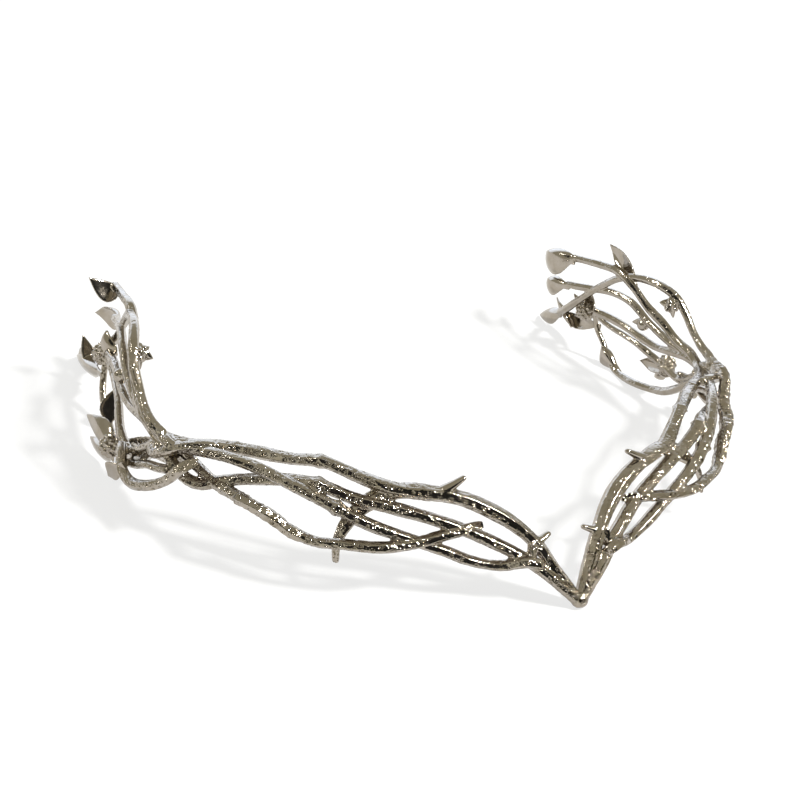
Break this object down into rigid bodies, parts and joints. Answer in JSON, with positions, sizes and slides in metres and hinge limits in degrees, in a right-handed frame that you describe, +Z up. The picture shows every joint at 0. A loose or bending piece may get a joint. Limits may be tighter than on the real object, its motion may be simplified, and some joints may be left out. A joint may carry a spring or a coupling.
{
  "type": "diadem",
  "caption": "Open metal diadem of intertwined thorny branches that meet in a point at the brow and fan out behind the temples into leaves and small flowers.",
  "frame": {"origin": "the flat under the brow point, on the plane that the diadem rests on", "axes": "+Z up from the rest plane; +Y back along the wearer's head; +X towards the wearer's left"},
  "size_m": [0.167, 0.1314, 0.0371],
  "materials": {
    "white_metal": "polished silver-toned plate on a casting, hammered and bark-like in front and smoother behind the temples"
  },
  "bodies": {
    "root": {"diadem": "white_metal"}
  },
  "joints": []
}
